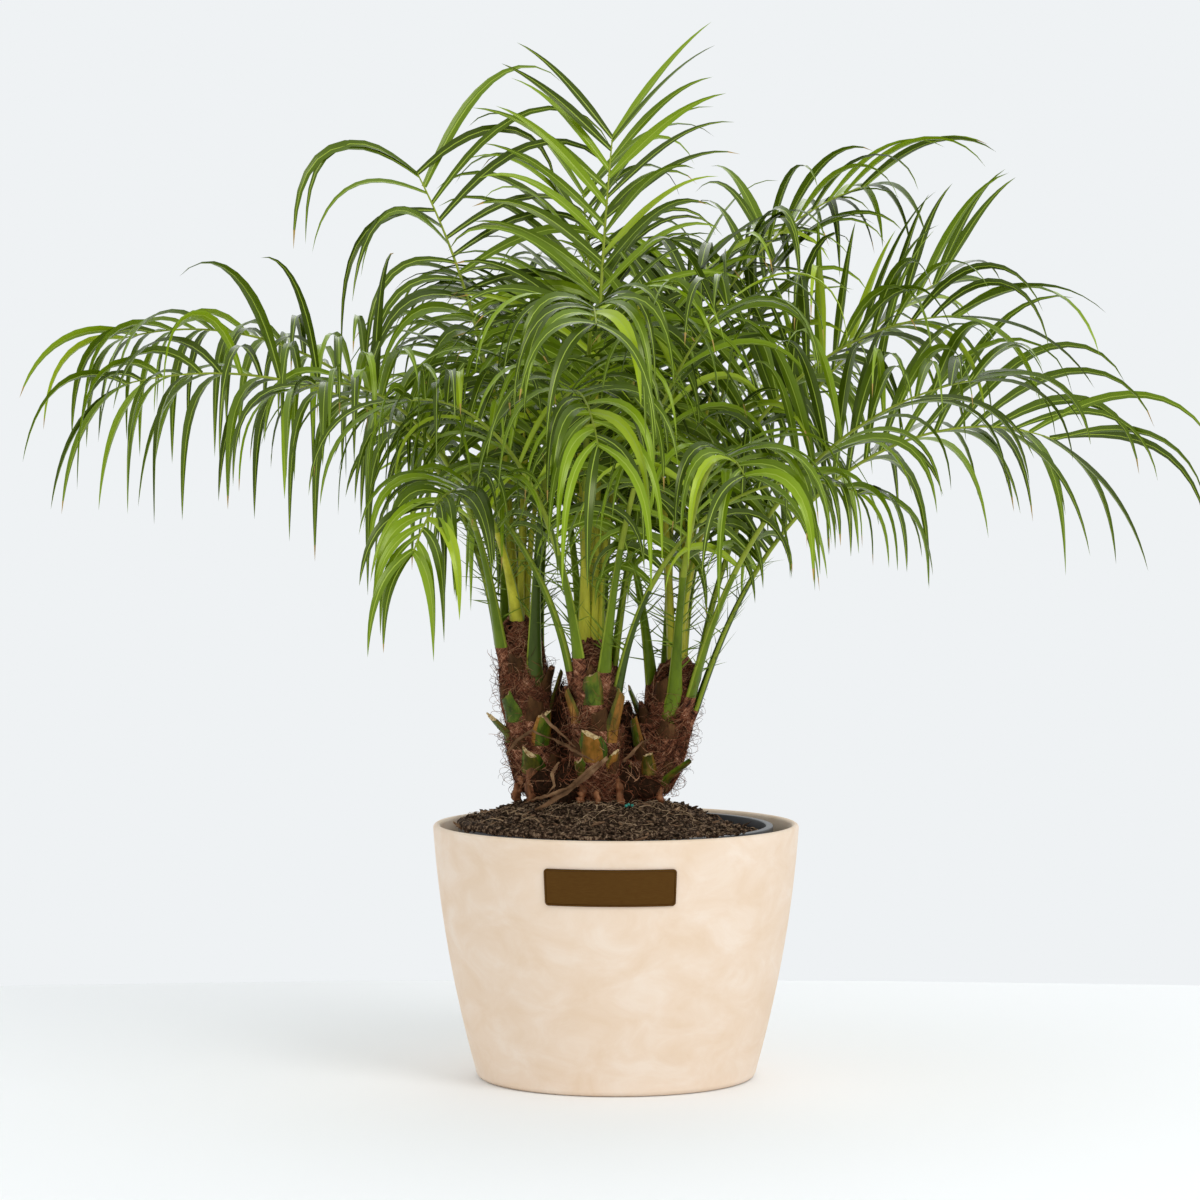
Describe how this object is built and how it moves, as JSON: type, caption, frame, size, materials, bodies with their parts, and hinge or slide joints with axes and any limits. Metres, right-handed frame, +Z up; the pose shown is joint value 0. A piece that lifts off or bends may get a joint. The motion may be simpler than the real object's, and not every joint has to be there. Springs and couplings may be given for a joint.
{
  "type": "potted pygmy date palm",
  "caption": "Potted pygmy date palm: short fibrous trunks from one clump, arching feather fronds, nursery pot and root ball in a tapered round planter with a blank plate.",
  "frame": {"origin": "centre of the planter's flat underside, on the surface it stands on", "axes": "+Z up; -Y is the front, where the blank plate is; +X to the right as seen from the front"},
  "size_m": [0.9754, 0.7821, 0.8469],
  "materials": {
    "planter_composite": "peach-beige moulded stone composite, softly mottled, matte",
    "plate_bronze": "dark bronze, brushed, blank",
    "black_plastic": "thin black polypropylene, satin",
    "potting_mix": "moist dark potting mix with pale roots",
    "fibrous_trunk": "brown leaf-base fibre and cut green stubs",
    "frond_green": "glossy mid-green leaflets on yellow-green ribs"
  },
  "bodies": {
    "root": {"planter": "planter_composite", "name_plate": "plate_bronze", "nursery_pot": "black_plastic", "soil": "potting_mix", "stem_left": "fibrous_trunk", "stem_middle": "fibrous_trunk", "stem_right": "fibrous_trunk", "frond_left_1": "frond_green", "frond_left_2": "frond_green", "frond_left_3": "frond_green", "frond_left_4": "frond_green", "frond_left_5": "frond_green", "frond_left_6": "frond_green", "frond_left_7": "frond_green", "frond_left_8": "frond_green", "frond_middle_1": "frond_green", "frond_middle_2": "frond_green", "frond_middle_3": "frond_green", "frond_middle_4": "frond_green", "frond_middle_5": "frond_green", "frond_middle_6": "frond_green", "frond_middle_7": "frond_green", "frond_middle_8": "frond_green", "frond_middle_9": "frond_green", "frond_middle_10": "frond_green", "frond_middle_11": "frond_green", "frond_right_1": "frond_green", "frond_right_2": "frond_green", "frond_right_3": "frond_green", "frond_right_4": "frond_green", "frond_right_5": "frond_green", "frond_right_6": "frond_green", "frond_right_7": "frond_green", "frond_right_8": "frond_green", "frond_right_9": "frond_green"}
  },
  "joints": []
}
